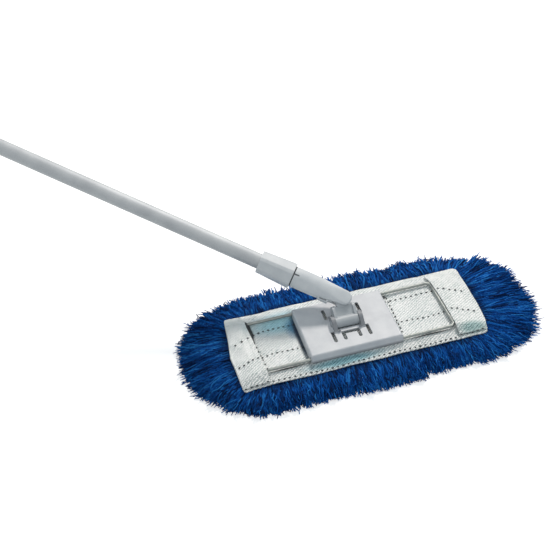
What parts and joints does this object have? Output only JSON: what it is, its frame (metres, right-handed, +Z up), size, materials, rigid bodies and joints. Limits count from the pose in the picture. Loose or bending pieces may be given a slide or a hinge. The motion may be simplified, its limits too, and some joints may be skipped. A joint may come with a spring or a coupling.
{
  "type": "dust mop",
  "caption": "Fringed yarn dust mop on a folding wire frame, with a moulded centre plate, a two-way swivel joint, a clamping collar and a long tube handle.",
  "frame": {"origin": "on the floor under the middle of the swivel joint's barrel", "axes": "+X along the mop to its right end, +Y away from its front, +Z up; the handle leans back and to the left"},
  "size_m": [1.3747, 0.8686, 0.491],
  "materials": {
    "tube": "satin anodised",
    "cap": "moulded, satin",
    "collar": "moulded, satin",
    "socket": "moulded, satin",
    "block": "moulded, satin",
    "plate": "moulded, satin",
    "steel": "zinc plated",
    "wire": "galvanised",
    "canvas": "cotton twill",
    "pocket": "cotton twill",
    "yarn": "looped yarn, cut ends"
  },
  "bodies": {
    "mop": {"centre_plate": "plate", "keeper_left": "steel", "keeper_right": "steel", "keeper_screws": "steel", "canvas_centre": "canvas", "sole_centre": "yarn", "fringe_front": "yarn", "fringe_back": "yarn"},
    "swivel": {"swivel_block": "block"},
    "handle": {"handle_tube": "tube", "handle_cap": "cap", "handle_socket": "socket", "upper_pin": "steel"},
    "collar": {"lock_collar": "collar"},
    "left_wing": {"wire_left": "wire", "canvas_left": "canvas", "pocket_left": "pocket", "sole_left": "yarn", "fringe_left_end": "yarn"},
    "right_wing": {"wire_right": "wire", "canvas_right": "canvas", "pocket_right": "pocket", "sole_right": "yarn", "fringe_right_end": "yarn"}
  },
  "joints": [
    {"name": "tilt", "type": "hinge", "parent": "mop", "child": "swivel", "pos_m": [0, 0, 0.0403], "axis": [1, 0, 0], "range_deg": [0, 118]},
    {"name": "swing", "type": "hinge", "parent": "swivel", "child": "handle", "pos_m": [0, 0.03429, 0.0609], "axis": [0, 0.515, -0.8572], "range_deg": [0, 104]},
    {"name": "collar_turn", "type": "hinge", "parent": "handle", "child": "collar", "pos_m": [0, 0.03429, 0.0609], "axis": [-0.788, 0.5277, 0.3171], "range_deg": [0, 90]},
    {"name": "left_fold", "type": "hinge", "parent": "mop", "child": "left_wing", "pos_m": [-0.062, 0, 0.02835], "axis": [0, -1, 0], "range_deg": [0, 60]},
    {"name": "right_fold", "type": "hinge", "parent": "mop", "child": "right_wing", "pos_m": [0.062, 0, 0.02835], "axis": [0, 1, 0], "range_deg": [0, 60]}
  ]
}
